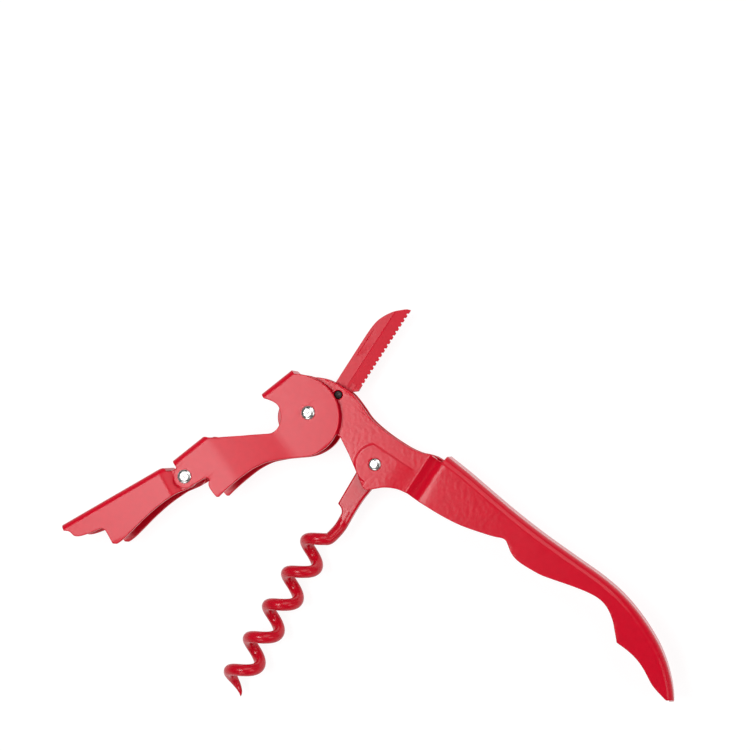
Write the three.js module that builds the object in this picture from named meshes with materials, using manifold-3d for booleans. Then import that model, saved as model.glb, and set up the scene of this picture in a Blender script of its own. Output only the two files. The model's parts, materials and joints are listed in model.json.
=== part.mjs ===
// A double-hinged waiter's corkscrew, open and lying on its side: millimetres, +Z up, pins along Z.
// Every folded piece is drawn in the closed tool's frame (origin on the lever pin, X towards the tail,
// Y towards the handle's back, Z across the tool) and is then turned about its pin into the open pose.
import * as THREE from 'three';
import { mergeVertices } from 'three/addons/utils/BufferGeometryUtils.js';
import Module from 'manifold-3d';

const wasm = await Module();
wasm.setup();

// Pins of the closed tool.
const LEVER_PIN = [0, 0];
const WORM_PIN = [20.6, -1.7];
const HINGE_PIN = [33.9, -6.6];
const KNIFE_PIN = [3.5, 7.6];

// Open pose, in degrees.
const HANDLE_TILT = -33.2;
const LEVER_OPEN = -108.7;
const TIP_OPEN = -8.5;
const WORM_OPEN = -87.4;
const KNIFE_OPEN = 90;

// Sheet, widths across the tool (half widths from the middle plane) and bends.
const SHEET = 1.25;
const CHEEK_HALF = 3.05;
const HANDLE_HALF = 6.2;
const PAD_RISE = 0.2;
const PAD_RADIUS = 5;
const PAD_CREASE = 4;
const PAD_END = 27.4;
const LEVER_DISC_HALF = 5.2;
const LEVER_EAR_HALF = 6.65;
const TIP_EAR_HALF = 5.3;
const TIP_HALF = 6.4;
const HANDLE_BEND = 2.2;
const ARM_BEND = 1.5;

// Rivets, pins, bush and washers.
const RIVET_RADIUS = 1.4;
const HEAD_RADIUS = 1.75;
const WORM_HEAD_RADIUS = 1.5;
const KNIFE_PIN_RADIUS = 1;
const HOLE_PLAY = 0.08;
const HEAD_GAP = 0.05;
const LEVER_HEAD_TOP = 5.95;
const WORM_HEAD_TOP = 3.75;
const HINGE_HEAD_TOP = 7.25;
const BUSH_RADIUS = 2.65;
const BUSH_HALF = 1.7;
const WASHER_RADIUS = 3.2;
const WASHER = 0.7;
const KNIFE_WASHER_RADIUS = 2.3;
const KNIFE_WASHER = 0.75;

// Knife, in its own frame: origin on its pin, X along the blade, Y towards the spine.
const BLADE_HALF = 0.8;
const SPINE_Y = 2.55;
const EDGE_Y = -3.4;
const HEEL_X = 3.3;
const TIP_X = 27.2;
const BEVEL_Y = -0.3;
const BEVEL_X = 4.1;
const EDGE_HALF = 0.35;
const NOTCHES = 17;
const NOTCH_START = 5.4;
const NOTCH_PITCH = 1.28;
const NOTCH_HALF = 0.3;
const NOTCH_DEPTH = 0.45;
const NICK_DEPTH = 0.25;

// Worm, in its own frame: origin on its pin, X along its axis, -Y towards the lever when closed.
const WIRE_RADIUS = 1.5;
const COIL_RADIUS = 2.85;
const COIL_PITCH = 9.45;
const COIL_OFFSET = -2.75;
const COIL_START = 20.6;
const COIL_TURNS = 4.98;
const POINT_LENGTH = 8;
const WIRE_STEPS = 104;
const WIRE_SIDES = 10;
const TANG_HALF = 1.45;

const REACH = 20;
const ROUND = 24;

// ---------- helpers ----------
const at = (x, y) => new THREE.Vector2(x, y);

function solid(geometry) {
  geometry.deleteAttribute('normal');
  geometry.deleteAttribute('uv');
  const merged = mergeVertices(geometry, 1e-5);
  const vertProperties = new Float32Array(merged.attributes.position.array);
  const triVerts = new Uint32Array(merged.index.array);
  return new wasm.Manifold(new wasm.Mesh({ numProp: 3, vertProperties, triVerts }));
}

function geometryOf(manifold) {
  const { vertProperties, triVerts } = manifold.getMesh();
  const geometry = new THREE.BufferGeometry();
  geometry.setAttribute('position', new THREE.BufferAttribute(vertProperties, 3));
  geometry.setIndex(new THREE.BufferAttribute(triVerts, 1));
  geometry.computeVertexNormals();
  return geometry;
}

// Points of an arc about a centre, from one angle to another, in degrees.
function arc(centre, radius, from, to, steps = 8) {
  return Array.from({ length: steps + 1 }, (_, i) => {
    const a = THREE.MathUtils.degToRad(from + ((to - from) * i) / steps);
    return [centre[0] + radius * Math.cos(a), centre[1] + radius * Math.sin(a)];
  });
}

function shapeOf(points, holes = []) {
  const shape = new THREE.Shape(points.map(([x, y]) => at(x, y)));
  for (const [centre, radius] of holes) {
    const rim = arc(centre, radius, 0, -360 + 360 / ROUND, ROUND - 1);
    shape.holes.push(new THREE.Path(rim.map(([x, y]) => at(x, y))));
  }
  return shape;
}

// A side outline through the whole width, or between two heights across the tool.
function sideCut(points, holes = [], low = -REACH, high = REACH) {
  const depth = high - low;
  const geometry = new THREE.ExtrudeGeometry(shapeOf(points, holes), { depth, bevelEnabled: false });
  return solid(geometry.translate(0, 0, low));
}

// A plan outline (X, Z) through the whole height.
function planCut(points) {
  const geometry = new THREE.ExtrudeGeometry(shapeOf(points), { depth: 2 * REACH, bevelEnabled: false });
  return solid(geometry.rotateX(Math.PI / 2).translate(0, REACH, 0));
}

// A cross-section (Z, Y) run along X.
function sectionRun(points, from, to) {
  const geometry = new THREE.ExtrudeGeometry(shapeOf(points), { depth: to - from, bevelEnabled: false });
  return solid(geometry.rotateY(Math.PI / 2).translate(from, 0, 0));
}

// Two sheet walls, mirrored about the middle plane, whose outer faces follow [x, half width] points.
function sheetPair(outer) {
  const inner = outer.map(([x, half]) => [x, half - SHEET]).reverse();
  const wall = [...outer, ...inner].reverse();
  const mirrored = wall.map(([x, half]) => [x, -half]).reverse();
  return planCut(wall).add(planCut(mirrored));
}

// The web that joins two walls along a straight fold, and the round of its two bends.
function foldWeb(piece, from, to, outerY, half, bend) {
  const corner = [
    [half + 1, outerY - 1],
    [half + 1, outerY + bend],
    [half, outerY + bend],
    ...arc([half - bend, outerY + bend], bend, 0, -90, 6).slice(1),
    [half - bend, outerY - 1],
  ];
  const mirrored = corner.map(([z, y]) => [-z, y]).reverse();
  const web = [
    [-half, outerY],
    [half, outerY],
    [half, outerY + SHEET],
    [-half, outerY + SHEET],
  ];
  return piece
    .add(sectionRun(web, from, to))
    .subtract(sectionRun(corner.reverse(), from - 1.5, to + 1.5))
    .subtract(sectionRun(mirrored.reverse(), from - 1.5, to + 1.5));
}

function lathe(profile, centre) {
  const geometry = new THREE.LatheGeometry(profile.map(([r, z]) => at(r, z)), ROUND);
  return solid(geometry.rotateX(Math.PI / 2).translate(centre[0], centre[1], 0));
}

// A rivet with a low domed head and a dimple at each end.
function rivet(centre, radius, headRadius, faceHalf, topHalf) {
  const seat = faceHalf + HEAD_GAP;
  const rise = topHalf - seat;
  const half = [
    [radius, seat],
    [headRadius, seat],
    [headRadius, seat + 0.3 * rise],
    [0.8 * headRadius, seat + 0.75 * rise],
    [0.45 * headRadius, topHalf],
    [0.2 * headRadius, topHalf],
    [0, topHalf - 0.35 * rise],
  ];
  const other = half.map(([r, z]) => [r, -z]).reverse();
  return lathe([...other, ...half], centre);
}

function ring(centre, inner, outer, low, high) {
  return lathe([[inner, low], [outer, low], [outer, high], [inner, high], [inner, low]], centre);
}

// ---------- handle ----------
const HANDLE_BACK = [
  [34.6, 9.9], [41.1, 9.3], [49, 8.3], [56.9, 7.4], [64.8, 6.8], [73, 6.5], [82, 6.2],
  [87.7, 5.5], [92.7, 4.2], [97.7, 2.3], [102.6, -0.2], [106.4, -2.9], [110.1, -6.4], [113.2, -10.3],
];
const HANDLE_GRIP = [
  [30, -3.3], [35.8, -3.1], [41.1, -2.9], [46.3, -2.3], [51.6, -1], [55.4, 0.1], [57.3, 0.8],
  [59, 0], [60.9, -1.2], [63.5, -1.8], [69.3, -1.5], [75.7, 0.1], [81.2, 1.3], [84, 1.5],
  [86.9, 0.7], [89.4, -0.9], [91.4, -2.9], [93.4, -5], [96.4, -5.1], [100.2, -5.9],
  [103.4, -7.4], [105.9, -8.8], [108.9, -9.6], [111.2, -10],
];
const CHEEK_CENTRE = [0.9, 1.2];
const CHEEK_RADIUS = 8.3;
const CHEEK_NOSE = [
  [-7.3, -0.5], [-7.3, -2], [-7, -3.4], [-6.4, -4.9], [-5.5, -6.1], [-4.2, -7.2], [-2.6, -7.8], [-0.6, -7.8],
  [1.3, -7.3], [2.9, -6.4], [4.1, -5.1], [5, -3.6], [6.1, -2.1], [7.6, -1], [9.6, -0.8],
];

function handleBody() {
  const back = new THREE.CatmullRomCurve3(HANDLE_BACK.map(([x, y]) => new THREE.Vector3(x, y, 0)));
  const depth = 18;
  const inside = HANDLE_HALF - SHEET;
  const insideBend = HANDLE_BEND - SHEET;
  const channel = [
    [-HANDLE_HALF, -depth],
    [-inside, -depth],
    ...arc([-inside + insideBend, -SHEET - insideBend], insideBend, 180, 90, 4),
    ...arc([inside - insideBend, -SHEET - insideBend], insideBend, 90, 0, 4),
    [inside, -depth],
    [HANDLE_HALF, -depth],
    ...arc([HANDLE_HALF - HANDLE_BEND, -HANDLE_BEND], HANDLE_BEND, 0, 90, 6),
    ...arc([-HANDLE_HALF + HANDLE_BEND, -HANDLE_BEND], HANDLE_BEND, 90, 180, 6),
  ];
  const sweep = { steps: 36, extrudePath: back, bevelEnabled: false };
  const swept = new THREE.ExtrudeGeometry(shapeOf(channel), sweep);
  const gripOutline = [
    ...HANDLE_GRIP.slice(1), [112.4, -9.2], [116, -6], [116, REACH], [34.2, REACH], [34.2, -3.1],
  ];
  const planEnd = [
    [30, -9],
    ...arc([112.3 - 2.5, -HANDLE_HALF + 2.45], 2.5, -90, 0, 5),
    ...arc([112.3 - 2.5, HANDLE_HALF - 2.45], 2.5, 0, 90, 5),
    [30, 9],
  ];
  const grip = solid(swept).intersect(sideCut(gripOutline)).intersect(planCut(planEnd));

  const holes = [
    [LEVER_PIN, RIVET_RADIUS + HOLE_PLAY],
    [WORM_PIN, RIVET_RADIUS + HOLE_PLAY],
    [KNIFE_PIN, KNIFE_PIN_RADIUS + HOLE_PLAY],
  ];
  const cheekOutline = [
    ...arc(CHEEK_CENTRE, CHEEK_RADIUS, 100, 180, 8),
    ...CHEEK_NOSE,
    [13.9, -3.3], [18.2, -6.1], [20.9, -8], [22.4, -8.2], [23.6, -6.8], [26.6, -4.6],
    ...HANDLE_GRIP.slice(0, 2), [37, -3.02], [37, 8], [31.4, 8], [28.9, 7.1], [26, 6.5], [19.6, 6.4],
    [13.2, 7.2], [8, 9.3], [4.7, 9.9],
  ];
  const walls = sheetPair([
    [-9, CHEEK_HALF], [31, CHEEK_HALF], [31.6, 3.4], [33.6, 5.8], [34.2, HANDLE_HALF], [37, HANDLE_HALF],
  ]);
  const padOutline = [
    ...arc(WORM_PIN, PAD_RADIUS, 127, 270, 12),
    [PAD_END, WORM_PIN[1] - PAD_RADIUS],
    [PAD_END, WORM_PIN[1] + PAD_CREASE],
  ];
  const pad = sideCut(padOutline, [], CHEEK_HALF - 0.4, CHEEK_HALF + PAD_RISE);
  const farPad = sideCut(padOutline, [], -CHEEK_HALF - PAD_RISE, -CHEEK_HALF + 0.4);
  return walls.add(pad).add(farPad).intersect(sideCut(cheekOutline, holes)).add(grip);
}

// ---------- lever ----------
const HOOK_WEB = [-3.1, 6.6];
const HOOK_Y = -11;
const EAR_WEB = [24.4, 34.2];
const EAR_WEB_Y = -11.6;
const EAR_RADIUS = 2.9;
const LEVER_DISC = [
  [6.4, 8.55], [4.6, 9.15], [2.1, 9.45], [0, 9.2], [-2.5, 8.2], [-4.7, 6.5], [-6.35, 4.2], [-7.3, 2],
  [-7.65, -0.7], [-7.35, -3.1], [-6.4, -5.7], [-4.95, -8], [-3.5, -9.5],
];
const LEVER_THROAT = [
  [6.6, -9.7], [5.8, -8.6], [5.1, -7.2], [4.9, -6.3], [5.1, -5.1], [5.9, -3.65], [7.1, -2.4], [8.8, -1.7],
  [10.4, -1.8], [12.2, -2.9], [16.7, -5.9], [24, -10.8],
];
const LEVER_TOOTH = [
  [32.1, -3.4], [30.1, -3.1], [29.45, -2.7], [29.5, -2.1], [30.2, -1.6], [30.6, -0.9], [30.75, 0.5], [30.75, 2],
  [30.3, 2.65],
];
const LEVER_CREST = [
  [28.4, 2.45], [24.4, 2.25], [20, 2.35], [17.7, 2.7], [15.7, 3.25], [13.7, 4.2], [11.5, 5.4], [9.8, 6.5],
  [7.9, 7.75],
];

function leverArm() {
  const outline = [
    ...LEVER_DISC,
    [HOOK_WEB[0], HOOK_Y],
    [HOOK_WEB[1], HOOK_Y],
    ...LEVER_THROAT,
    [EAR_WEB[0], EAR_WEB_Y],
    [EAR_WEB[1], EAR_WEB_Y],
    [34.2, -10.8],
    ...arc(HINGE_PIN, EAR_RADIUS, -82, 90, 10),
    ...LEVER_TOOTH,
    ...LEVER_CREST,
  ];
  const holes = [
    [LEVER_PIN, RIVET_RADIUS + HOLE_PLAY],
    [HINGE_PIN, RIVET_RADIUS + HOLE_PLAY],
  ];
  const plates = sheetPair([
    [-9, LEVER_DISC_HALF], [9.4, LEVER_DISC_HALF], [24.3, LEVER_EAR_HALF], [38, LEVER_EAR_HALF],
  ]);
  const cut = plates.intersect(sideCut(outline, holes));
  const hooked = foldWeb(cut, ...HOOK_WEB, HOOK_Y, LEVER_DISC_HALF, ARM_BEND);
  return foldWeb(hooked, ...EAR_WEB, EAR_WEB_Y, LEVER_EAR_HALF, ARM_BEND);
}

// ---------- second step of the lever ----------
const TIP_WEB = [37.8, 67.5];
const TIP_WEB_Y = -11.5;

function leverTip() {
  const outline = [
    ...arc(HINGE_PIN, 3, 90, 270, 12),
    [36.9, -9.6], [37.4, -10.6], [TIP_WEB[0], TIP_WEB_Y], [TIP_WEB[1], TIP_WEB_Y], [67.7, -10.6],
    [66.4, -9.2], [66.1, -7.9], [64.8, -6.9], [61.7, -6.2], [58.5, -5.7], [58.1, -4.5], [58.1, -1.1],
    [57.4, -0.5], [55.8, -0.6], [52.9, -1.3], [47.7, -2.7], [42.4, -3.7], [37.6, -4], [36, -3.7],
  ];
  const plates = sheetPair([[30, TIP_EAR_HALF], [36.7, TIP_EAR_HALF], [39.2, TIP_HALF], [69, TIP_HALF]]);
  const cut = plates.intersect(sideCut(outline, [[HINGE_PIN, RIVET_RADIUS + HOLE_PLAY]]));
  return foldWeb(cut, ...TIP_WEB, TIP_WEB_Y, TIP_HALF, ARM_BEND);
}

// ---------- knife ----------
function knifeBlade() {
  const edge = [];
  for (let i = 0; i < NOTCHES; i += 1) {
    const x = NOTCH_START + i * NOTCH_PITCH;
    edge.push([x - NOTCH_HALF, EDGE_Y], [x, EDGE_Y + NOTCH_DEPTH], [x + NOTCH_HALF, EDGE_Y]);
  }
  const outline = [
    [2.4, -2.3], [HEEL_X, EDGE_Y],
    ...edge, [TIP_X, EDGE_Y],
    [26.9, -2.5], [25.9, -1.3], [24.55, 0.05], [22.6, 1.3], [20.7, 2.1], [19.1, 2.4], [16.5, SPINE_Y],
    [5, SPINE_Y], ...arc([-1.7, 0], 2.4, 90, 270, 8), [1, -2.2],
  ];
  const wedge = [
    [BLADE_HALF, BEVEL_Y], [EDGE_HALF, EDGE_Y], [EDGE_HALF, EDGE_Y - 2], [3, EDGE_Y - 2], [3, BEVEL_Y],
  ];
  const mirrored = wedge.map(([z, y]) => [-z, y]).reverse();
  const nick = arc([14.5, 5.7], 5.8, 223.6, 316.4, 10);
  return sideCut(outline, [[[0, 0], KNIFE_PIN_RADIUS + HOLE_PLAY]], -BLADE_HALF, BLADE_HALF)
    .subtract(sectionRun(wedge, BEVEL_X, TIP_X + 2))
    .subtract(sectionRun(mirrored, BEVEL_X, TIP_X + 2))
    .subtract(sideCut(nick, [], BLADE_HALF - NICK_DEPTH, BLADE_HALF + 1));
}

// ---------- worm ----------
function coilPoint(turn) {
  const angle = 2 * Math.PI * turn;
  const y = COIL_OFFSET + COIL_RADIUS * Math.cos(angle);
  return new THREE.Vector3(COIL_START + COIL_PITCH * turn, y, COIL_RADIUS * Math.sin(angle));
}

// A round wire along a path, whose radius may change on the way.
function wireAlong(path, steps, sides, radiusAt) {
  const { normals, binormals } = path.computeFrenetFrames(steps, false);
  const positions = [];
  const index = [];
  for (let i = 0; i <= steps; i += 1) {
    const centre = path.getPointAt(i / steps);
    for (let j = 0; j < sides; j += 1) {
      const angle = (2 * Math.PI * j) / sides;
      const rim = centre.clone();
      rim.addScaledVector(normals[i], radiusAt(i / steps) * Math.cos(angle));
      rim.addScaledVector(binormals[i], radiusAt(i / steps) * Math.sin(angle));
      positions.push(rim.x, rim.y, rim.z);
    }
  }
  for (let i = 0; i < steps; i += 1) {
    for (let j = 0; j < sides; j += 1) {
      const [a, b] = [i * sides + j, i * sides + ((j + 1) % sides)];
      index.push(a, b, b + sides, a, b + sides, a + sides);
    }
  }
  const last = steps * sides;
  for (let j = 1; j < sides - 1; j += 1) index.push(0, j + 1, j, last, last + j, last + j + 1);
  const geometry = new THREE.BufferGeometry();
  geometry.setAttribute('position', new THREE.Float32BufferAttribute(positions, 3));
  geometry.setIndex(index);
  return geometry;
}

function worm() {
  const route = [
    new THREE.Vector3(13.6, 0.05, 0),
    new THREE.Vector3(15.8, 0.1, 0),
    new THREE.Vector3(17.8, 0.1, 0.1),
    new THREE.Vector3(19.8, -0.15, 0.9),
  ];
  for (let turn = 1 / 8; turn <= COIL_TURNS; turn += 1 / 16) route.push(coilPoint(turn));
  const path = new THREE.CatmullRomCurve3(route);
  const taperStart = 1 - POINT_LENGTH / path.getLength();
  const radiusAt = (u) => WIRE_RADIUS * (u < taperStart ? 1 : 1 - 0.88 * (u - taperStart) / (1 - taperStart));
  const wire = wireAlong(path, WIRE_STEPS, WIRE_SIDES, radiusAt);
  const tang = [
    ...arc([0, 0], 2.65, 75, 235, 12),
    [0.9, -3.05], [3.4, -3.3], [13.2, -3.3], [13.45, -2.6], [13.85, -1.9], [14.5, -1.35], [15.3, -1],
    [16, -0.8], [16, 1.5], [13, 1.45], [9.1, 1.65], [5.6, 2.2],
  ];
  return sideCut(tang, [[[0, 0], RIVET_RADIUS + HOLE_PLAY]], -TANG_HALF, TANG_HALF).add(solid(wire));
}

// ---------- assembly ----------
const enamel = () => new THREE.MeshStandardMaterial({ color: 0xc4122a, roughness: 0.3, metalness: 0.1 });
const nickel = () => new THREE.MeshStandardMaterial({ color: 0xd8d8d6, roughness: 0.2, metalness: 1 });
const steel = () => new THREE.MeshStandardMaterial({ color: 0x55565a, roughness: 0.4, metalness: 1 });

function part(name, manifold, material) {
  const mesh = new THREE.Mesh(geometryOf(manifold), material);
  mesh.name = name;
  return mesh;
}

// A group that turns the pieces in it about a pin of its parent's frame.
function turned(pin, degrees, keepsFrame, ...children) {
  const inner = new THREE.Group();
  if (keepsFrame) inner.position.set(-pin[0], -pin[1], 0);
  inner.add(...children);
  const outer = new THREE.Group();
  outer.position.set(pin[0], pin[1], 0);
  outer.rotation.z = THREE.MathUtils.degToRad(degrees);
  outer.add(inner);
  return outer;
}

const gap = LEVER_DISC_HALF - SHEET - CHEEK_HALF;
const washerLow = CHEEK_HALF + (gap - WASHER) / 2;
const hole = RIVET_RADIUS + HOLE_PLAY;
const knifeHole = KNIFE_PIN_RADIUS + HOLE_PLAY;
const knifeWasherLow = BLADE_HALF + HEAD_GAP;

const tipGroup = turned(HINGE_PIN, TIP_OPEN, true, part('lever_tip', leverTip(), enamel()));
const leverGroup = turned(
  LEVER_PIN, LEVER_OPEN, true,
  part('lever_arm', leverArm(), enamel()),
  part('hinge_rivet', rivet(HINGE_PIN, RIVET_RADIUS, HEAD_RADIUS, LEVER_EAR_HALF, HINGE_HEAD_TOP), nickel()),
  tipGroup,
);
const wormGroup = turned(WORM_PIN, WORM_OPEN, false, part('worm', worm(), enamel()));
const knifeGroup = turned(KNIFE_PIN, KNIFE_OPEN, false, part('knife_blade', knifeBlade(), enamel()));
const knifePin = lathe(
  [[0, -CHEEK_HALF], [KNIFE_PIN_RADIUS, -CHEEK_HALF], [KNIFE_PIN_RADIUS, CHEEK_HALF], [0, CHEEK_HALF]],
  KNIFE_PIN,
);
const wormRivet = rivet(WORM_PIN, RIVET_RADIUS, WORM_HEAD_RADIUS, CHEEK_HALF + PAD_RISE, WORM_HEAD_TOP);
const tool = turned(
  LEVER_PIN, HANDLE_TILT, true,
  part('handle_body', handleBody(), enamel()),
  part('lever_rivet', rivet(LEVER_PIN, RIVET_RADIUS, HEAD_RADIUS, LEVER_DISC_HALF, LEVER_HEAD_TOP), nickel()),
  part('lever_bush', ring(LEVER_PIN, hole, BUSH_RADIUS, -BUSH_HALF, BUSH_HALF), steel()),
  part('lever_washer_near', ring(LEVER_PIN, hole, WASHER_RADIUS, washerLow, washerLow + WASHER), steel()),
  part('lever_washer_far', ring(LEVER_PIN, hole, WASHER_RADIUS, -washerLow - WASHER, -washerLow), steel()),
  part('worm_rivet', wormRivet, nickel()),
  part('knife_pin', knifePin, steel()),
  part('knife_washer_near',
    ring(KNIFE_PIN, knifeHole, KNIFE_WASHER_RADIUS, knifeWasherLow, knifeWasherLow + KNIFE_WASHER), steel()),
  part('knife_washer_far',
    ring(KNIFE_PIN, knifeHole, KNIFE_WASHER_RADIUS, -knifeWasherLow - KNIFE_WASHER, -knifeWasherLow), steel()),
  leverGroup,
  wormGroup,
  knifeGroup,
);

// The tool rests on its hinge rivet and lever plates, centred over the origin.
const corkscrew = new THREE.Group();
corkscrew.add(tool);
corkscrew.updateMatrixWorld(true);
const box = new THREE.Box3().setFromObject(corkscrew, true);
tool.position.x -= (box.min.x + box.max.x) / 2;
tool.position.y -= (box.min.y + box.max.y) / 2;
tool.position.z -= box.min.z;

export default corkscrew;
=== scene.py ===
import json
import math

import bmesh
import bpy
from mathutils import Matrix, Vector


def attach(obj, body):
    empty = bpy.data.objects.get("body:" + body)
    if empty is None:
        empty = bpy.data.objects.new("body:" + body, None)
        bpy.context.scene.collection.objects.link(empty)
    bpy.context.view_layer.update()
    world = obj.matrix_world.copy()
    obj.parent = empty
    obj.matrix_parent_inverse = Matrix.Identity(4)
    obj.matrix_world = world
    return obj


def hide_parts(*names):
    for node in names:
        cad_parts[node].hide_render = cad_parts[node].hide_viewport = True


# A double-hinged waiter's corkscrew, open and lying on its side.
# Every piece is drawn in millimetres in the closed tool's frame (origin on the lever pin, X towards the tail,
# Y towards the handle's back, Z across the tool) and is turned about its joint into the open pose.
MM = 0.001

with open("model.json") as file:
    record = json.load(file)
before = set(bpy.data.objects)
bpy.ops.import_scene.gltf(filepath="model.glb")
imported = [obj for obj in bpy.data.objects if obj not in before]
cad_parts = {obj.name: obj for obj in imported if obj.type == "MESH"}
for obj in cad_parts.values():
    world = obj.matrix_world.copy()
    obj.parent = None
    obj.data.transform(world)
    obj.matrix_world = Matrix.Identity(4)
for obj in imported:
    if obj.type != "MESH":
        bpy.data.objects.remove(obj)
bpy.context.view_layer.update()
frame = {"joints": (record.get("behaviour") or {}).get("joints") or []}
JOINT = {j["name"]: Vector(j["pos_m"]) for j in frame["joints"]}

HINGE_PIN = (33.9, -6.6)
WORM_PIN = (20.6, -1.7)
KNIFE_PIN = (3.5, 7.6)
HANDLE_TURN = -33.2
LEVER_TURN = HANDLE_TURN - 108.7
TIP_TURN = LEVER_TURN - 8.5
WORM_TURN = HANDLE_TURN - 87.4
KNIFE_TURN = HANDLE_TURN + 90

SHEET = 1.25
COAT_EDGE = 0.22
BEND_STEPS = 8
ARM_BEND = 1.5
HOLE = 1.48
KNIFE_HOLE = 1.08
HOLE_SIDES = 48


def placed(joint, pin, degrees):
    """The transform from a piece's drawing, in millimetres, to its place in the open tool, in metres."""
    turn = Matrix.Rotation(math.radians(degrees), 4, "Z")
    to_pin = Matrix.Translation((-pin[0], -pin[1], 0))
    return Matrix.Translation(JOINT[joint]) @ turn @ Matrix.Scale(MM, 4) @ to_pin


def on_handle():
    return placed("lever_swing", (0, 0), HANDLE_TURN)


# ---------- outlines ----------
def arc(centre, radius, start, end, steps=16):
    points = []
    for i in range(steps + 1):
        a = math.radians(start + (end - start) * i / steps)
        points.append((centre[0] + radius * math.cos(a), centre[1] + radius * math.sin(a)))
    return points


def pin_hole(pin, radius=HOLE):
    return arc(pin, radius, 0, 360 - 360 / HOLE_SIDES, HOLE_SIDES - 1)


def mirrored(half):
    """The other half of a pattern, or of a turned profile, with its second value turned over."""
    return [(x, -v) for x, v in reversed(half)]


def spline(points, step=0.5):
    """A smooth line through the points (centripetal Catmull-Rom), with a point every step or so."""
    if len(points) < 3:
        return list(points)
    p = [Vector(q) for q in points]
    p = [p[0] * 2 - p[1]] + p + [p[-1] * 2 - p[-2]]
    line = [tuple(p[1])]
    for a, b, c, d in zip(p, p[1:], p[2:], p[3:]):
        knots = [0.0]
        for u, v in ((a, b), (b, c), (c, d)):
            knots.append(knots[-1] + max((v - u).length, 1e-6) ** 0.5)
        t0, t1, t2, t3 = knots
        count = max(1, round((c - b).length / step))
        for i in range(1, count + 1):
            t = t1 + (t2 - t1) * i / count
            ab = a * ((t1 - t) / (t1 - t0)) + b * ((t - t0) / (t1 - t0))
            bc = b * ((t2 - t) / (t2 - t1)) + c * ((t - t1) / (t2 - t1))
            cd = c * ((t3 - t) / (t3 - t2)) + d * ((t - t2) / (t3 - t2))
            left = ab * ((t2 - t) / (t2 - t0)) + bc * ((t - t0) / (t2 - t0))
            right = bc * ((t3 - t) / (t3 - t1)) + cd * ((t - t1) / (t3 - t1))
            line.append(tuple(left * ((t2 - t) / (t2 - t1)) + right * ((t - t1) / (t2 - t1))))
    return line


def join(*stretches):
    line = []
    for stretch in stretches:
        for point in stretch:
            if not line or (Vector(point) - Vector(line[-1])).length > 0.02:
                line.append(tuple(point))
    return line


def soften(line, closed, radius=0.35, sharp=28):
    """Rounds each corner of a line that turns more than sharp degrees."""
    out = []
    n = len(line)
    for i, point in enumerate(line):
        here = Vector(point)
        if not closed and i in (0, n - 1):
            out.append(point)
            continue
        before, after = Vector(line[i - 1]), Vector(line[(i + 1) % n])
        a, b = before - here, after - here
        turn = 180 - math.degrees(a.angle(b, math.pi))
        if turn < sharp:
            out.append(point)
            continue
        cut = min(radius, 0.48 * a.length, 0.48 * b.length)
        start, end = here + a.normalized() * cut, here + b.normalized() * cut
        for k in range(7):
            t = k / 6
            out.append(tuple(start * (1 - t) ** 2 + here * (2 * t * (1 - t)) + end * t ** 2))
    return out


def dense(line, step=0.6, closed=False):
    """The same line with no stretch longer than step, so that it can be bent with the sheet."""
    out = []
    ends = line[1:] + ([line[0]] if closed else [])
    for a, b in zip(line, ends):
        a, b = Vector(a), Vector(b)
        count = max(1, math.ceil((b - a).length / step))
        out.extend(tuple(a.lerp(b, i / count)) for i in range(count))
    if not closed:
        out.append(line[-1])
    return out


def mix(low, high, t):
    t = min(1.0, max(0.0, t))
    t = t * t * (3 - 2 * t)
    return low + (high - low) * t


# ---------- meshes ----------
def plate_mesh(name, loops, thickness, edge=COAT_EDGE):
    """A flat plate with rounded edges, from closed loops (the outline, then its holes)."""
    curve = bpy.data.curves.new(name, "CURVE")
    curve.dimensions = "2D"
    curve.fill_mode = "BOTH"
    curve.extrude = thickness / 2 - edge
    curve.bevel_depth = edge
    curve.bevel_resolution = 3
    curve.offset = -edge
    for loop in loops:
        line = curve.splines.new("POLY")
        line.points.add(len(loop) - 1)
        for point, (x, y) in zip(line.points, loop):
            point.co = (x, y, 0, 1)
        line.use_cyclic_u = True
    holder = bpy.data.objects.new(name, curve)
    bpy.context.scene.collection.objects.link(holder)
    mesh = bpy.data.meshes.new_from_object(holder.evaluated_get(bpy.context.evaluated_depsgraph_get()))
    bpy.data.objects.remove(holder)
    bpy.data.curves.remove(curve)
    bm = bmesh.new()
    bm.from_mesh(mesh)
    bpy.data.meshes.remove(mesh)
    bmesh.ops.remove_doubles(bm, verts=bm.verts, dist=1e-4)
    return bm


def slice_mesh(bm, axis, places, keep=None):
    """Cuts the mesh's faces across an axis at each place, so that it can bend there."""
    normal = Vector((0, 0, 0))
    normal[axis] = 1
    for place in places:
        point = Vector((0, 0, 0))
        point[axis] = place
        faces = [f for f in bm.faces if keep is None or keep(f.calc_center_median())]
        edges = {e for f in faces for e in f.edges}
        verts = {v for f in faces for v in f.verts}
        geometry = list(verts) + list(edges) + faces
        bmesh.ops.bisect_plane(bm, geom=geometry, dist=1e-5, plane_co=point, plane_no=normal)


def finished(bm, name, matrix, material, body, nodes, flat=True):
    """Turns a bmesh drawn in millimetres into a placed piece of the tool."""
    mesh = bpy.data.meshes.new(name)
    bmesh.ops.recalc_face_normals(bm, faces=bm.faces)
    bm.to_mesh(mesh)
    bm.free()
    mesh.transform(matrix)
    mesh.shade_smooth()
    piece = bpy.data.objects.new(name, mesh)
    bpy.context.scene.collection.objects.link(piece)
    piece.data.materials.append(material)
    if flat:
        weigh = piece.modifiers.new("flat faces stay flat", "WEIGHTED_NORMAL")
        weigh.weight = 100
        weigh.keep_sharp = True
    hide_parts(*nodes)
    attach(piece, body)
    return piece


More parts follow.
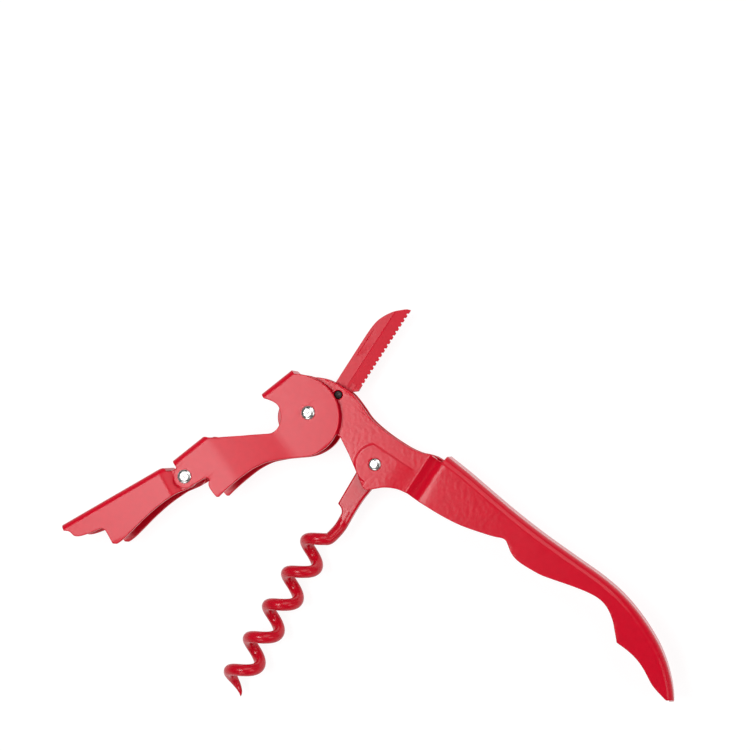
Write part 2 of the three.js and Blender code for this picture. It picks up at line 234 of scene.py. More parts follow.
def folded_sheet(loops, along, across, bend, local=()):
    """A sheet cut to a flat pattern, then bent: bend(x, v, w) says where each of its points goes."""
    bm = plate_mesh("pattern", loops, SHEET)
    slice_mesh(bm, 0, along)
    slice_mesh(bm, 1, across)
    for axis, places, keep in local:
        slice_mesh(bm, axis, places, keep)
    for v in bm.verts:
        v.co = bend(v.co.x, v.co.y, v.co.z)
    return bm


class StraightFold:
    """The pattern of a channel whose web is straight: x along it, and v across it from the web's middle."""

    def __init__(self, half, web_y, radius):
        self.half = half
        self.web_y = web_y
        self.radius = radius
        self.mid = radius - SHEET / 2
        self.run = self.mid * math.pi / 2

    def v_at(self, x, y):
        return self.half(x) + self.run - 2 * self.radius - self.web_y(x) + y

    def pattern(self, points, side=1):
        return [(x, side * self.v_at(x, y)) for x, y in points]

    def bend_lines(self, x):
        start = self.half(x) - self.radius
        lines = [start + self.run * i / BEND_STEPS for i in range(BEND_STEPS + 1)]
        return lines + [-v for v in lines]

    def bend(self, x, v, w):
        side = 1 if v >= 0 else -1
        a = abs(v)
        half, web_y = self.half(x), self.web_y(x)
        start = half - self.radius
        if a <= start:
            return Vector((x, web_y + SHEET / 2 - w, side * a))
        if a < start + self.run:
            angle = (a - start) / self.mid
            reach = self.mid + w
            y = web_y + self.radius - reach * math.cos(angle)
            return Vector((x, y, side * (start + reach * math.sin(angle))))
        y = a - half - self.run + 2 * self.radius + web_y
        slope = (self.half(x + 0.05) - self.half(x - 0.05)) / 0.1
        lean = math.sqrt(1 + slope * slope)
        z = half - SHEET / 2 + w / lean
        return Vector((x - w * slope / lean, y, side * z))


def steps(start, end, step):
    count = max(1, round((end - start) / step))
    return [start + (end - start) * i / count for i in range(count + 1)]


# ---------- materials ----------
def node_of(tree, kind, **inputs):
    node = tree.nodes.new(kind)
    for key, value in inputs.items():
        node.inputs[key.replace("_", " ")].default_value = value
    return node


def speckle(tree, scale, detail=3.0):
    """Noise in the piece's own space; scale is in features per metre."""
    where = tree.nodes.new("ShaderNodeTexCoord")
    cloud = node_of(tree, "ShaderNodeTexNoise", Scale=scale, Detail=detail, Roughness=0.5)
    tree.links.new(where.outputs["Object"], cloud.inputs["Vector"])
    return cloud.outputs["Fac"]


def ramp(tree, source, low, high):
    blend = tree.nodes.new("ShaderNodeValToRGB")
    blend.color_ramp.elements[0].position = 0.35
    blend.color_ramp.elements[0].color = (*low, 1)
    blend.color_ramp.elements[1].position = 0.65
    blend.color_ramp.elements[1].color = (*high, 1)
    tree.links.new(source, blend.inputs["Fac"])
    return blend.outputs["Color"]


def spread(tree, source, low, high):
    span = node_of(tree, "ShaderNodeMapRange")
    span.inputs["From Min"].default_value = 0.3
    span.inputs["From Max"].default_value = 0.7
    span.inputs["To Min"].default_value = low
    span.inputs["To Max"].default_value = high
    tree.links.new(source, span.inputs["Value"])
    return span.outputs["Result"]


def bumps(tree, *layers):
    """Stacked bumps: each layer is (height source, distance in metres, strength)."""
    last = None
    for source, distance, strength in layers:
        bump = tree.nodes.new("ShaderNodeBump")
        bump.inputs["Strength"].default_value = strength
        bump.inputs["Distance"].default_value = distance
        tree.links.new(source, bump.inputs["Height"])
        if last:
            tree.links.new(last, bump.inputs["Normal"])
        last = bump.outputs["Normal"]
    return last


def material(name):
    made = bpy.data.materials.new(name)
    made.use_nodes = True
    tree = made.node_tree
    shader = tree.nodes["Principled BSDF"]
    return made, tree, shader


RED = (0.62, 0.0028, 0.02)
RED_DEEP = (0.6, 0.003, 0.02)


def enamel(name, peel, grain, gloss=0.3, ior=1.33, colour=RED):
    """Stoved red enamel: peel is the strength of its orange peel, grain of its finer stipple."""
    made, tree, shader = material(name)
    deep = tuple(c * 0.95 for c in colour)
    tree.links.new(ramp(tree, speckle(tree, 700), deep, colour), shader.inputs["Base Color"])
    tree.links.new(spread(tree, speckle(tree, 1100), gloss - 0.02, gloss + 0.02), shader.inputs["Roughness"])
    shader.inputs["Metallic"].default_value = 0.0
    shader.inputs["IOR"].default_value = ior
    layers = bumps(
        tree,
        (speckle(tree, 1150, 0.0), 0.00006, peel),
        (speckle(tree, 1900, 0.0), 0.00001, grain),
    )
    tree.links.new(layers, shader.inputs["Normal"])
    return made


def polished(name, colour, roughness, scratch):
    made, tree, shader = material(name)
    darker = tuple(c * 0.86 for c in colour)
    tree.links.new(ramp(tree, speckle(tree, 1500), darker, colour), shader.inputs["Base Color"])
    worn = spread(tree, speckle(tree, 2400), roughness * 0.7, roughness * 1.4)
    tree.links.new(worn, shader.inputs["Roughness"])
    shader.inputs["Metallic"].default_value = 1.0
    tree.links.new(bumps(tree, (speckle(tree, 5200), 0.00001, scratch)), shader.inputs["Normal"])
    return made


HANDLE_RED = enamel("handle enamel", 0.42, 0.25, 0.24, 1.31)
LEVER_RED = enamel("lever enamel", 0.1, 0.12, 0.3, 1.34)
WORM_RED = enamel("worm coating", 0.1, 0.1, 0.24, 1.36, (0.54, 0.003, 0.016))
BLADE_RED = enamel("blade coating", 0.08, 0.15, 0.4, 1.36, RED_DEEP)
NICKEL = polished("rivet nickel", (0.8, 0.8, 0.78), 0.26, 0.1)
# Near-black: the knife pin's end is made this dark as a painted shade standing in for a dark hole; the lever
# bush and washers share it as dark steel.
DARK_STEEL_AND_HOLE_SHADE = polished("dark steel and painted hole shade", (0.03, 0.024, 0.024), 0.45, 0.2)


# ---------- lever ----------
def ramped(x, points):
    """A broken line through [x, value, blend] points, each corner rounded over its blend."""
    if x <= points[0][0]:
        value = points[0][1]
    elif x >= points[-1][0]:
        value = points[-1][1]
    else:
        value = 0
        for (x0, y0, _), (x1, y1, _) in zip(points, points[1:]):
            if x0 <= x <= x1:
                value = y0 + (y1 - y0) * (x - x0) / (x1 - x0)
    slopes = [0] + [(b[1] - a[1]) / (b[0] - a[0]) for a, b in zip(points, points[1:])] + [0]
    for (corner, _, blend), before, after in zip(points, slopes, slopes[1:]):
        gap = blend - abs(x - corner)
        if gap > 0:
            value += (after - before) * gap * gap / (4 * blend)
    return value


DISC_HALF = 5.2
EAR_HALF = 6.65
TIP_EAR_HALF = 5.3
TIP_HALF = 6.4
EAR_WEB_START = 24.4
HOOK_WEB_Y = -11
EAR_WEB_Y = -11.6
TIP_WEB_Y = -11.5


def make_lever_arm():
    fold = StraightFold(
        lambda x: ramped(x, [(9.4, DISC_HALF, 1.5), (24.3, EAR_HALF, 1.5)]),
        lambda x: mix(HOOK_WEB_Y, EAR_WEB_Y, (x - 10) / 12),
        ARM_BEND,
    )
    disc = spline([(-3.15, -9.7), (-3.8, -9.2), (-4.95, -8), (-6.4, -5.7), (-7.35, -3.1), (-7.65, -0.7),
                   (-7.3, 2), (-6.35, 4.2), (-4.7, 6.5), (-2.5, 8.2), (0, 9.2), (2.1, 9.45),
                   (4.6, 9.15), (6.4, 8.55), (7.9, 7.75), (9.8, 6.5), (11.5, 5.4), (13.7, 4.2),
                   (15.7, 3.25), (17.7, 2.7), (20, 2.35), (24.4, 2.25), (28.4, 2.45), (30.3, 2.65)])
    tooth = spline([(30.3, 2.65), (30.68, 2.3), (30.75, 1.7), (30.75, 0.5), (30.6, -0.9), (30.2, -1.6),
                    (29.5, -2.1)])
    heel = spline([(29.45, -2.7), (30.1, -3.1), (32.1, -3.4), (33.7, -3.7)])
    ear = [*arc(HINGE_PIN, 2.9, 90, -80, 24), (34.2, -9.9)]
    outer = soften(dense(join(disc, tooth, heel, ear)), False)
    throat = spline([(6.6, -9.7), (5.8, -8.6), (5.1, -7.2), (4.9, -6.3), (5.1, -5.1), (5.9, -3.65),
                     (7.1, -2.4), (8.8, -1.7), (10.4, -1.8), (12.2, -2.9), (14.4, -4.4), (16.7, -5.9),
                     (20, -8.15), (23, -10.1)])
    inner = soften(dense(throat), False)
    outline = fold.pattern(outer)
    window = fold.pattern(inner) + [(EAR_WEB_START, fold.half(EAR_WEB_START) - fold.radius)]
    loops = [outline + mirrored(outline), window + mirrored(window)]
    for pin in ((0, 0), HINGE_PIN):
        loops += [fold.pattern(pin_hole(pin)), fold.pattern(pin_hole(pin), -1)]
    along = steps(7.8, 11, 0.4) + steps(22.7, 25.9, 0.4)
    bm = folded_sheet(loops, along, fold.bend_lines(2) + fold.bend_lines(30), fold.bend)
    return finished(bm, "lever_first_step", placed("lever_swing", (0, 0), LEVER_TURN), LEVER_RED, "lever",
                    ["lever_arm"])


def make_lever_tip():
    fold = StraightFold(
        lambda x: ramped(x, [(36.8, TIP_EAR_HALF, 0.7), (39.1, TIP_HALF, 0.7)]),
        lambda x: TIP_WEB_Y,
        ARM_BEND,
    )
    ear = arc(HINGE_PIN, 3, 270, 84, 24)
    crest = spline([(34.3, -3.62), (36, -3.8), (37.6, -4), (42.4, -3.7), (47.7, -2.7), (52.9, -1.3),
                    (55.6, -0.65), (57.2, -0.5)])
    tooth = [(57.2, -0.5), (58.1, -1.1), (58.1, -4.6)]
    step = spline([(58.1, -4.6), (58.5, -5.65), (60, -5.95), (61.7, -6.2), (63.4, -6.5), (64.8, -6.9),
                   (65.8, -7.6), (66.1, -8.6), (66.5, -9.3), (67.5, -10)])
    foot = [(37.6, -10), (36.9, -9.6)]
    outer = soften(dense(join(foot, ear, crest, tooth, step)), False)
    outline = fold.pattern(outer)
    hole = pin_hole(HINGE_PIN)
    loops = [outline + mirrored(outline), fold.pattern(hole), fold.pattern(hole, -1)]
    bm = folded_sheet(loops, steps(35.9, 40, 0.25), fold.bend_lines(50), fold.bend)
    return finished(bm, "lever_second_step", placed("tip_swing", HINGE_PIN, TIP_TURN), LEVER_RED, "tip",
                    ["lever_tip"])


# ---------- handle ----------
HANDLE_BACK = [
    (34.6, 9.9), (41.1, 9.3), (49, 8.3), (56.9, 7.4), (64.8, 6.8), (73, 6.5), (82, 6.2),
    (87.7, 5.5), (92.7, 4.2), (97.7, 2.3), (102.6, -0.2), (106.4, -2.9), (110.1, -6.4), (113.2, -10.3),
]
CHEEK_HALF = 3.05
HANDLE_HALF = 6.2
HANDLE_BEND = 2.2
PAD_RISE = 0.2
PAD_RADIUS = 5
PAD_CREASE = 4
PAD_SLOPE = 0.5
PAD_FADE_START = 24.5
PAD_FADE_LENGTH = 6.5


class CurvedFold:
    """The pattern of a channel whose web follows a curve: s along it, and v across from the web's middle."""

    def __init__(self, back):
        self.points = [Vector(p) for p in spline(back, 0.25)]
        self.lengths = [0.0]
        for a, b in zip(self.points, self.points[1:]):
            self.lengths.append(self.lengths[-1] + (b - a).length)
        self.mid = HANDLE_BEND - SHEET / 2
        self.run = self.mid * math.pi / 2
        self.start = HANDLE_HALF - HANDLE_BEND

    def at(self, s):
        """The place on the curve at s, and its direction; before its start the curve runs on straight."""
        if s <= 0:
            ahead = (self.points[3] - self.points[0]).normalized()
            return self.points[0] + ahead * s, ahead
        low, high = 0, len(self.lengths) - 1
        while high - low > 1:
            middle = (low + high) // 2
            low, high = (middle, high) if self.lengths[middle] <= s else (low, middle)
        span = self.lengths[high] - self.lengths[low]
        t = (s - self.lengths[low]) / span
        place = self.points[low].lerp(self.points[high], t)
        before = self.points[max(0, low - 3)]
        after = self.points[min(len(self.points) - 1, high + 3)]
        return place, (after - before).normalized()

    def pattern_point(self, x, y):
        """Where a point of the side view lies in the pattern."""
        here = Vector((x, y))
        first = (self.points[3] - self.points[0]).normalized()
        s = (here - self.points[0]).dot(first)
        if s > 0:
            nearest = min(range(len(self.points)), key=lambda i: (self.points[i] - here).length_squared)
            s = self.lengths[nearest]
            place, ahead = self.at(s)
            s += (here - place).dot(ahead)
        place, ahead = self.at(s)
        depth = max(0.0, (place - here).dot(Vector((-ahead.y, ahead.x))))
        if depth < HANDLE_BEND:
            return s, self.start + self.mid * math.acos(1 - depth / HANDLE_BEND)
        return s, self.start + self.run + depth - HANDLE_BEND

    def half_at(self, x):
        return ramped(x, [(31.2, CHEEK_HALF, 0.6), (34.1, HANDLE_HALF, 1.5)])

    def bend(self, s, v, w):
        side = 1 if v >= 0 else -1
        a = abs(v)
        place, ahead = self.at(s)
        up = Vector((-ahead.y, ahead.x))
        if a <= self.start:
            spot = place - up * (SHEET / 2 - w)
            return Vector((spot.x, spot.y, side * a))
        if a < self.start + self.run:
            angle = (a - self.start) / self.mid
            reach = self.mid + w
            spot = place - up * (HANDLE_BEND - reach * math.cos(angle))
            return Vector((spot.x, spot.y, side * (self.start + reach * math.sin(angle))))
        spot = place - up * (HANDLE_BEND + a - self.start - self.run)
        half = self.half_at(spot.x) + pad_rise(spot.x, spot.y)
        slope = (self.half_at(spot.x + 0.05) - self.half_at(spot.x - 0.05)) / 0.1
        lean = math.sqrt(1 + slope * slope)
        return Vector((spot.x - w * slope / lean, spot.y, side * (half - SHEET / 2 + w / lean)))


def pad_rise(x, y):
    """The cheeks are pressed out a little round the worm's pin and below a crease that runs back from it."""
    dx, dy = x - WORM_PIN[0], y - WORM_PIN[1]
    inside = min(max(PAD_RADIUS - math.hypot(dx, dy), dx), PAD_CREASE - dy)
    fade = mix(1, 0, (x - PAD_FADE_START) / PAD_FADE_LENGTH)
    return mix(0, PAD_RISE, (inside + PAD_SLOPE / 2) / PAD_SLOPE) * fade


def make_handle():
    fold = CurvedFold(HANDLE_BACK)
    crown = spline([(34.4, 8.05), (33, 8.05), (31.4, 7.95), (30, 7.55), (28.6, 7.0), (26, 6.5),
                    (22.8, 6.35), (19.6, 6.4), (16.3, 6.7), (13.2, 7.3), (10.6, 8.35), (8, 9.3),
                    (6.4, 9.75), (4.4, 9.9), (2.2, 9.75), *arc((0.9, 1.2), 8.3, 102, 180, 8),
                    (-7.3, -0.5), (-7.3, -2), (-7, -3.4), (-6.4, -4.9), (-5.5, -6.1), (-4.2, -7.2),
                    (-2.6, -7.8), (-0.6, -7.8), (1.3, -7.3), (2.9, -6.4), (4.1, -5.1), (5, -3.6),
                    (6.1, -2.1), (7.6, -1), (9.6, -0.8)])
    jaw = [(9.6, -0.8), (13.9, -3.3), (18.2, -6.15), (20.6, -7.8)]
    chin = spline([(20.6, -7.8), (21.3, -8.15), (22.1, -8.15), (22.8, -7.7), (23.8, -6.75),
                   (25.2, -5.5), (26.8, -4.5), (28.6, -3.75), (30.4, -3.4), (32.5, -3.2), (35.8, -3.1),
                   (41.1, -2.9), (46.3, -2.3), (51.6, -1), (55.2, 0.1), (56.6, 0.7), (57.6, 0.8),
                   (58.8, 0.1), (60.3, -0.95), (61.8, -1.55), (63.5, -1.8), (66.4, -1.75), (69.3, -1.5),
                   (72.5, -0.75), (75.7, 0.1), (78.6, 0.8), (81.2, 1.3), (83.4, 1.5), (85.3, 1.3),
                   (87.2, 0.6), (89.4, -0.9), (91.4, -2.9), (93.3, -4.95)])
    tail = spline([(93.3, -4.95), (94.7, -5), (96.4, -5.1), (98.4, -5.4), (100.2, -5.9), (101.9, -6.6),
                   (103.4, -7.4), (105.9, -8.75), (108.9, -9.6), (110.6, -9.95)])
    outer = [fold.pattern_point(x, y) for x, y in soften(dense(join(crown, jaw, chin, tail)), False)]
    end = fold.pattern_point(112.35, -9.35)[0]
    corner = [(end - 0.5, fold.start + 0.9), (end, fold.start - 0.6)]
    front = [(0.0, fold.start + 0.4), (0.05, fold.start + 1.3)]
    near = [*front, *outer, *corner]
    loops = [soften(near + mirrored(near), True, 0.5)]
    for pin, radius in (((0, 0), HOLE), (WORM_PIN, HOLE), (KNIFE_PIN, KNIFE_HOLE)):
        hole = [fold.pattern_point(x, y) for x, y in pin_hole(pin, radius)]
        loops += [hole, [(s, -v) for s, v in hole]]
    pin_s, pin_v = fold.pattern_point(*WORM_PIN)
    pad_start = pin_s - 6

    def on_pad(centre):
        return pad_start < centre.x < 0

    local = [(1, steps(side * pin_v - 5.5, side * pin_v + 5.5, 0.4), on_pad) for side in (1, -1)]
    along = steps(pad_start, -4.9, 0.4) + steps(-4.7, -0.3, 0.2) + steps(0.3, 1.5, 0.3) + steps(3, end, 1.6)
    lines = [fold.start + fold.run * i / BEND_STEPS for i in range(BEND_STEPS + 1)]
    bm = folded_sheet(loops, along, lines + [-v for v in lines], fold.bend, local)
    return finished(bm, "folded_handle", on_handle(), HANDLE_RED, "handle", ["handle_body"])


# ---------- turned pieces ----------
SHANK = 1.4
HEAD = 1.75
WORM_HEAD = 1.5
LEVER_SEAT, LEVER_TOP = 5.25, 5.95
WORM_SEAT, WORM_TOP = 3.3, 3.75
HINGE_SEAT, HINGE_TOP = 6.7, 7.25
BUSH_RADIUS, BUSH_HALF = 2.65, 1.7
WASHER_RADIUS, WASHER_LOW, WASHER_HIGH = 3.2, 3.15, 3.85
KNIFE_WASHER_RADIUS, KNIFE_WASHER_LOW, KNIFE_WASHER_HIGH = 2.3, 0.85, 1.6
RING_EASE = 0.12


def turned_mesh(profile, centre, segments=64):
    """Spins a closed profile of (radius, z) points about a pin."""
    bm = bmesh.new()
    rings = []
    for radius, z in profile:
        if radius < 1e-6:
            rings.append([bm.verts.new((centre[0], centre[1], z))])
            continue
        rings.append([
            bm.verts.new((centre[0] + radius * math.cos(2 * math.pi * i / segments),
                          centre[1] + radius * math.sin(2 * math.pi * i / segments), z))
            for i in range(segments)
        ])
    pairs = list(zip(rings, rings[1:]))
    if profile[0][0] > 1e-6:
        pairs.append((rings[-1], rings[0]))
    for low, high in pairs:
        for i in range(segments):
            k = (i + 1) % segments
            corners = [low[i % len(low)], low[k % len(low)], high[k % len(high)], high[i % len(high)]]
            bm.faces.new(list(dict.fromkeys(corners)))
    return bm


def dome(radius, seat, top):
    """Half a rivet's profile from its seat to the dimple in its head."""
    rise = top - seat
    rim = [(radius - 0.06, seat), (radius, seat + 0.06)]
    crown = []
    for i in range(1, 13):
        a = math.radians(90 * i / 14)
        crown.append((radius * math.cos(a) ** 0.72, seat + 0.12 * rise + 0.88 * rise * math.sin(a)))
    dimple = [(0.24 * radius, top - 0.005), (0.19 * radius, top - 0.03), (0.13 * radius, top - 0.12),
              (0, top - 0.15)]
    return rim + [p for p in crown if p[0] > 0.26 * radius] + dimple


def make_rivet(name, pin, head, seat, top, body, matrix, node):
    half = [(SHANK, 0.2), (SHANK, seat), *dome(head, seat, top)]
    profile = mirrored(half) + half
    bm = turned_mesh(profile, pin)
    return finished(bm, name, matrix, NICKEL, body, [node], flat=False)


def make_ring(name, pin, inner, outer, low, high, node):
    ease = RING_EASE
    profile = [
        (inner, low + ease), (inner + ease, low), (outer - ease, low), (outer - 0.3 * ease, low + 0.3 * ease),
        (outer, low + ease), (outer, high - ease), (outer - 0.3 * ease, high - 0.3 * ease), (outer - ease, high),
        (inner + ease, high), (inner, high - ease),
    ]
    bm = turned_mesh(profile, pin)
    return finished(bm, name, on_handle(), DARK_STEEL_AND_HOLE_SHADE, "handle", [node])


def make_fasteners():
    on_lever = placed("lever_swing", (0, 0), LEVER_TURN)
    make_rivet("lever_pivot_rivet", (0, 0), HEAD, LEVER_SEAT, LEVER_TOP, "handle", on_handle(), "lever_rivet")
    make_rivet("worm_pivot_rivet", WORM_PIN, WORM_HEAD, WORM_SEAT, WORM_TOP, "handle", on_handle(),
               "worm_rivet")
    make_rivet("hinge_pivot_rivet", HINGE_PIN, HEAD, HINGE_SEAT, HINGE_TOP, "lever", on_lever, "hinge_rivet")
    make_ring("lever_spacer_bush", (0, 0), HOLE, BUSH_RADIUS, -BUSH_HALF, BUSH_HALF, "lever_bush")
    for side, word in ((1, "near"), (-1, "far")):
        low, high = sorted((side * WASHER_LOW, side * WASHER_HIGH))
        make_ring(f"lever_washer_disc_{word}", (0, 0), HOLE, WASHER_RADIUS, low, high, f"lever_washer_{word}")
        low, high = sorted((side * KNIFE_WASHER_LOW, side * KNIFE_WASHER_HIGH))
        make_ring(f"knife_washer_disc_{word}", KNIFE_PIN, KNIFE_HOLE, KNIFE_WASHER_RADIUS, low, high,
                  f"knife_washer_{word}")
    # The knife pin's end is near-black, a painted shade standing in for a dark hole.
    end = [(1, 2.85), (0.93, 2.97), (0.8, 3.02), (0.4, 2.98), (0, 2.94)]
    bm = turned_mesh(mirrored(end) + end, KNIFE_PIN)
    finished(bm, "knife_pivot_pin", on_handle(), DARK_STEEL_AND_HOLE_SHADE, "handle", ["knife_pin"])


# ---------- knife ----------
BLADE_HALF = 0.8
EDGE_HALF = 0.35
SPINE_Y = 2.55
EDGE_Y = -3.4
BEVEL_Y = -0.3
BEVEL_X = 4.1
GRIND_STEP = 0.1
HEEL_X = 3.3
POINT_X = 27.2
NOTCHES = 17
NOTCH_START = 5.4
NOTCH_PITCH = 1.28
NOTCH_DEPTH = 0.45
NICK_CENTRE = (14.5, 5.7)
NICK_RADIUS = 5.8
NICK_TOP = 1.7
NICK_DEPTH = 0.2
NICK_HALF_LENGTH = 4.4


def make_knife():
    edge = [(1, -2.2), (2.4, -2.3), (HEEL_X, EDGE_Y)]
    for i in range(NOTCHES):
        x = NOTCH_START + i * NOTCH_PITCH
        edge += [(x - 0.3, EDGE_Y), (x - 0.16, EDGE_Y + 0.75 * NOTCH_DEPTH), (x, EDGE_Y + NOTCH_DEPTH),
                 (x + 0.16, EDGE_Y + 0.75 * NOTCH_DEPTH), (x + 0.3, EDGE_Y)]
    edge += [(POINT_X - 0.05, EDGE_Y)]
    back = spline([(POINT_X, EDGE_Y + 0.1), (26.9, -2.5), (25.9, -1.3), (24.55, 0.05), (22.6, 1.3), (20.7, 2.1),
                   (19.1, 2.4), (16.5, 2.54), (14, SPINE_Y)])
    heel = arc((-1.7, 0), 2.4, 90, 270, 20)
    outline = join(edge, back, [(5, SPINE_Y), (1.5, 2.5)], heel)
    bm = plate_mesh("blade", [outline, pin_hole((0, 0), KNIFE_HOLE)], 2 * BLADE_HALF, 0.1)
    slice_mesh(bm, 1, [BEVEL_Y, BEVEL_Y - 0.12])
    slice_mesh(bm, 0, [BEVEL_X, BEVEL_X + 0.2])

    def on_nick(centre):
        return abs(centre.x - NICK_CENTRE[0]) < NICK_HALF_LENGTH and centre.y > -0.25

    nick_lines = steps(NICK_CENTRE[0] - NICK_HALF_LENGTH, NICK_CENTRE[0] + NICK_HALF_LENGTH, 0.2)
    slice_mesh(bm, 0, nick_lines, lambda c: c.y > BEVEL_Y)
    slice_mesh(bm, 1, steps(-0.2, 1.6, 0.2) + steps(1.64, 1.84, 0.05), on_nick)
    for v in bm.verts:
        x, y, z = v.co
        drop = min(1, max(0, (BEVEL_Y - y) / (BEVEL_Y - EDGE_Y)))
        ease = min(1, max(0, (x - BEVEL_X) / 0.2))
        ground = GRIND_STEP * min(1, max(0, (BEVEL_Y - y) / 0.12))
        v.co.z = z * (1 - ease * (ground + drop * (1 - ground - EDGE_HALF / BLADE_HALF)))
        inside = NICK_RADIUS - math.hypot(x - NICK_CENTRE[0], y - NICK_CENTRE[1])
        if z > 0.6 and inside > 0 and y < NICK_TOP + 0.06:
            wall = mix(1, 0, (y - NICK_TOP + 0.06) / 0.12)
            v.co.z -= NICK_DEPTH * min(1, inside / 1.4) * wall
    for e in bm.edges:
        a, b = e.verts
        if abs(a.co.y - BEVEL_Y) < 1e-3 and abs(b.co.y - BEVEL_Y) < 1e-3:
            e.smooth = False
    return finished(bm, "serrated_blade", placed("knife_swing", (0, 0), KNIFE_TURN), BLADE_RED, "knife",
                    ["knife_blade"])


# ---------- worm ----------
WIRE = 1.5
COIL = 2.85
PITCH = 9.45
COIL_OFFSET = -2.75
COIL_START = 20.6
COIL_TURNS = 4.98
TANG_HALF = 1.45
POINT_LENGTH = 8
WORM_VOXEL = 0.12
WORM_SMOOTHINGS = 5


def tube(bm, path, radius_at, sides=28):
    """A round tube along a path, with frames that don't twist."""
    ahead = [(b - a).normalized() for a, b in zip(path, path[1:])]
    ahead.append(ahead[-1])
    normal = Vector((0, 1, 0))
    rings = []
    for i, (place, way) in enumerate(zip(path, ahead)):
        normal = (normal - way * normal.dot(way)).normalized()
        other = way.cross(normal)
        radius = radius_at(i / (len(path) - 1))
        rings.append([
            bm.verts.new(place + (normal * math.cos(a) + other * math.sin(a)) * radius)
            for a in (2 * math.pi * k / sides for k in range(sides))
        ])
    for low, high in zip(rings, rings[1:]):
        for i in range(sides):
            k = (i + 1) % sides
            bm.faces.new((low[i], low[k], high[k], high[i]))
    bm.faces.new(list(reversed(rings[0])))
    bm.faces.new(rings[-1])


def make_worm():
    route = [(13.6, 0.05, 0), (15.8, 0.1, 0), (17.8, 0.1, 0.1), (19.8, -0.15, 0.9)]
    for i in range(2, math.floor(16 * COIL_TURNS) + 1):
        a = 2 * math.pi * i / 16
        route.append((COIL_START + PITCH * i / 16, COIL_OFFSET + COIL * math.cos(a), COIL * math.sin(a)))
    path = [Vector(p) for p in spline(route, 0.25)]
    length = sum((b - a).length for a, b in zip(path, path[1:]))
    taper = 1 - POINT_LENGTH / length

    def radius_at(u):
        if u < taper:
            return WIRE
        t = (u - taper) / (1 - taper)
        return WIRE * (1 - 0.92 * t ** 1.4)

    tang = join(
        arc((0, 0), 2.65, 75, 235, 32),
        spline([(-1.5, -2.18), (-0.4, -2.7), (0.9, -3.05), (3.4, -3.3)]),
        [(13.2, -3.3)],
        spline([(13.2, -3.3), (13.45, -2.6), (13.85, -1.9), (14.5, -1.4), (15.3, -1.2), (16.4, -0.8)]),
        spline([(16.4, 1.5), (13, 1.5), (9.1, 1.68), (5.6, 2.2), (3, 2.48), (0.7, 2.56)]),
    )
    bm = plate_mesh("tang", [tang, pin_hole((0, 0))], 2 * TANG_HALF, 0.45)
    tube(bm, path, radius_at)
    mesh = bpy.data.meshes.new("worm blank")
    bm.to_mesh(mesh)
    bm.free()
    blank = bpy.data.objects.new("worm blank", mesh)
    bpy.context.scene.collection.objects.link(blank)
    remesh = blank.modifiers.new("one forged piece", "REMESH")
    remesh.mode = "VOXEL"
    remesh.voxel_size = WORM_VOXEL
    whole = bpy.data.meshes.new_from_object(blank.evaluated_get(bpy.context.evaluated_depsgraph_get()))
    bpy.data.objects.remove(blank)
    bm = bmesh.new()
    bm.from_mesh(whole)
    bpy.data.meshes.remove(whole)
    for _ in range(WORM_SMOOTHINGS):
        bmesh.ops.smooth_vert(bm, verts=bm.verts, factor=0.5, use_axis_x=True, use_axis_y=True, use_axis_z=True)
    return finished(bm, "coiled_worm", placed("worm_swing", (0, 0), WORM_TURN), WORM_RED, "worm",
                    ["worm"], flat=False)


# ---------- stage ----------
FLOOR_DROP = 0.0002
FLOOR_GREY = (0.15, 0.15, 0.15, 1)
FLOOR_GLOW = 0.9
SENSOR = 36


def make_floor():
    bm = bmesh.new()
    bmesh.ops.create_grid(bm, x_segments=8, y_segments=8, size=3)
    mesh = bpy.data.meshes.new("floor")
    bm.to_mesh(mesh)
    bm.free()
    floor = bpy.data.objects.new("floor", mesh)
    floor.location.z = -FLOOR_DROP
    bpy.context.scene.collection.objects.link(floor)
    made, tree, shader = material("pale floor")
    shader.inputs["Base Color"].default_value = FLOOR_GREY
    shader.inputs["Roughness"].default_value = 0.9
    shader.inputs["Specular IOR Level"].default_value = 0.0
    shader.inputs["Emission Color"].default_value = (1, 1, 1, 1)
    shader.inputs["Emission Strength"].default_value = FLOOR_GLOW
    mesh.materials.append(made)


def make_light(name, place, size, size_y, radiance, target=(0, 0, 0)):
    """A rectangular lamp of a given brightness (the floor's white is 1) turned to the target."""
    data = bpy.data.lights.new(name, "AREA")
    data.shape = "RECTANGLE"
    data.size = size
    data.size_y = size_y
    data.energy = radiance * math.pi * size * size_y
    light = bpy.data.objects.new(name, data)
    light.location = place
    light.rotation_euler = (Vector(target) - Vector(place)).to_track_quat("-Z", "Y").to_euler()
    bpy.context.scene.collection.objects.link(light)


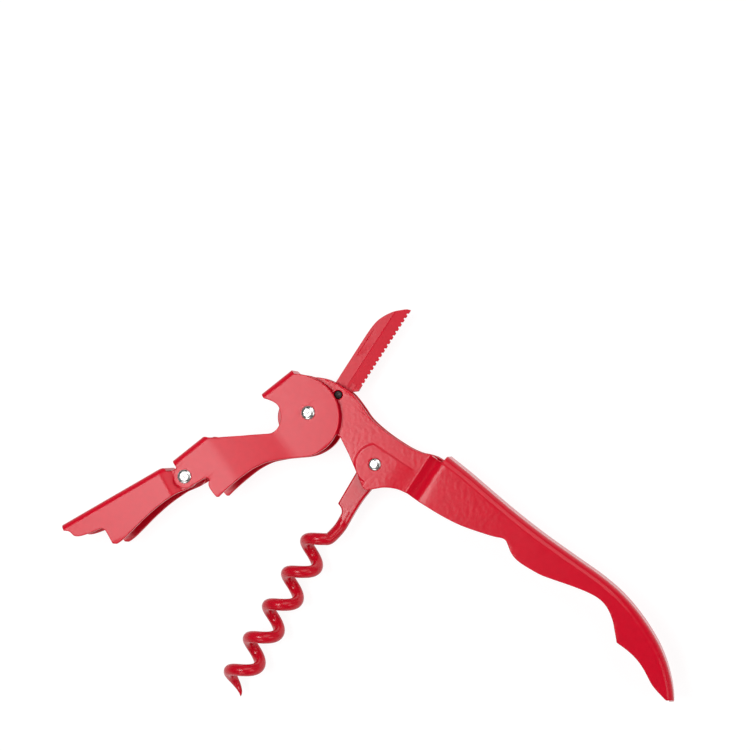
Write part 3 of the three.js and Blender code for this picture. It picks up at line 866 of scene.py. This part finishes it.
def make_studio():
    world = bpy.data.worlds.new("studio")
    world.use_nodes = True
    bpy.context.scene.world = world
    tree = world.node_tree
    where = tree.nodes.new("ShaderNodeTexCoord")
    parts = tree.nodes.new("ShaderNodeSeparateXYZ")
    tree.links.new(where.outputs["Generated"], parts.inputs["Vector"])
    sky = tree.nodes.new("ShaderNodeValToRGB")
    sky.color_ramp.elements[0].position = 0.0
    sky.color_ramp.elements[0].color = (0.7, 0.7, 0.7, 1)
    sky.color_ramp.elements[1].position = 0.35
    sky.color_ramp.elements[1].color = (0.03, 0.03, 0.03, 1)
    tree.links.new(parts.outputs["Z"], sky.inputs["Fac"])
    back = tree.nodes["Background"]
    tree.links.new(sky.outputs["Color"], back.inputs["Color"])
    back.inputs["Strength"].default_value = 1.0
    make_light("overhead softbox", (-0.157, 0.03, 0.5), 0.175, 0.24, 12.5, (-0.157, 0.03, 0))
    make_light("key", (-0.15, -0.55, 0.5), 0.32, 0.32, 3)
    make_light("side", (0.62, -0.05, 0.5), 0.32, 0.32, 3)
    make_light("back", (0.25, 0.34, 0.5), 0.3, 0.5, 3.2)
    bpy.context.scene.view_settings.view_transform = "Standard"


CAMERA_FROM_PIN = Vector((0.09454, -0.00679, 0.53517))
FOCAL_OVER_WIDTH = 2.9126
TILT_X = -1.708
TILT_Y = -8.363
ROLL = -0.051


def make_camera():
    data = bpy.data.cameras.new("camera")
    data.sensor_width = SENSOR
    data.lens = SENSOR * FOCAL_OVER_WIDTH
    data.clip_start = 0.01
    camera = bpy.data.objects.new("camera", data)
    to_camera = (
        Matrix.Rotation(math.radians(TILT_X), 4, "X")
        @ Matrix.Rotation(math.radians(TILT_Y), 4, "Y")
        @ Matrix.Rotation(math.radians(ROLL), 4, "Z")
    )
    place = JOINT["lever_swing"] + CAMERA_FROM_PIN
    camera.matrix_world = Matrix.Translation(place) @ to_camera.inverted()
    bpy.context.scene.collection.objects.link(camera)
    bpy.context.scene.camera = camera


make_handle()
make_lever_arm()
make_lever_tip()
make_knife()
make_worm()
make_fasteners()
make_floor()
make_studio()
make_camera()
